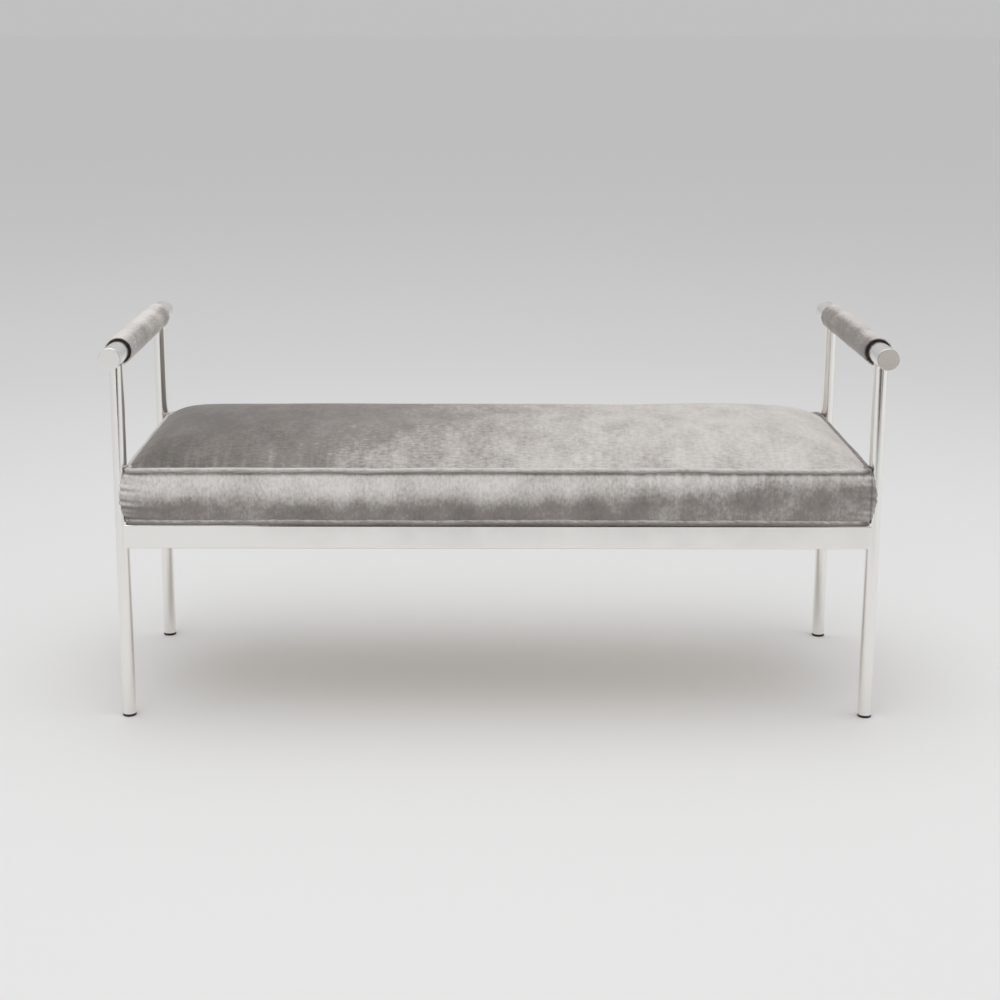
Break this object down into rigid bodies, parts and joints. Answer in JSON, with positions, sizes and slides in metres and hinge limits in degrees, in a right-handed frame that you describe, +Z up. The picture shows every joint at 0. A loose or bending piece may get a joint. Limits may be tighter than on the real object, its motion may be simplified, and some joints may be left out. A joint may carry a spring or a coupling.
{
  "type": "upholstered bench",
  "caption": "Upholstered bench on a polished round-tube frame, with padded arm bars, flat rails and a loose boxed cushion with welted edges.",
  "frame": {"origin": "on the floor under the middle of the bench", "axes": "+X along the length of the seat to the right, +Y from the front to the back, +Z up"},
  "size_m": [1.25, 0.486, 0.625],
  "materials": {
    "polished_nickel": "polished",
    "velvet": "matte",
    "pad_foam": "matte",
    "seat_foam": "matte",
    "fibre": "matte",
    "lining": "matte",
    "plywood": "satin",
    "zinc_steel": "satin",
    "black_nylon": "satin"
  },
  "bodies": {
    "frame": {"arm_bar_left": "polished_nickel", "arm_bar_right": "polished_nickel", "arm_cover_left": "velvet", "arm_cover_right": "velvet", "arm_foam_left": "pad_foam", "arm_foam_right": "pad_foam", "bar_cap_front_left": "polished_nickel", "bar_cap_front_right": "polished_nickel", "bar_cap_rear_left": "polished_nickel", "bar_cap_rear_right": "polished_nickel", "corner_plate_front_left": "zinc_steel", "corner_plate_front_right": "zinc_steel", "corner_plate_rear_left": "zinc_steel", "corner_plate_rear_right": "zinc_steel", "cross_bar_left": "zinc_steel", "cross_bar_right": "zinc_steel", "deck_screw_bar_front_left": "zinc_steel", "deck_screw_bar_front_right": "zinc_steel", "deck_screw_bar_rear_left": "zinc_steel", "deck_screw_bar_rear_right": "zinc_steel", "deck_screw_plate_front_left": "zinc_steel", "deck_screw_plate_front_right": "zinc_steel", "deck_screw_plate_rear_left": "zinc_steel", "deck_screw_plate_rear_right": "zinc_steel", "foot_glide_front_left": "black_nylon", "foot_glide_front_right": "black_nylon", "foot_glide_rear_left": "black_nylon", "foot_glide_rear_right": "black_nylon", "leg_front_left": "polished_nickel", "leg_front_right": "polished_nickel", "leg_rear_left": "polished_nickel", "leg_rear_right": "polished_nickel", "rail_front": "polished_nickel", "rail_left": "polished_nickel", "rail_rear": "polished_nickel", "rail_right": "polished_nickel", "seat_deck": "plywood"},
    "cushion": {"cover_top": "velvet", "cover_bottom": "lining", "foam_block": "seat_foam", "fibre_crown": "fibre", "boxing_front": "velvet", "boxing_rear": "velvet", "boxing_left": "velvet", "boxing_right": "velvet", "welt_top": "velvet", "welt_bottom": "velvet"}
  },
  "joints": [
    {"name": "cushion_lift", "type": "slide", "parent": "frame", "child": "cushion", "axis": [0, 0, 1], "range_m": [0, 0.15]}
  ]
}
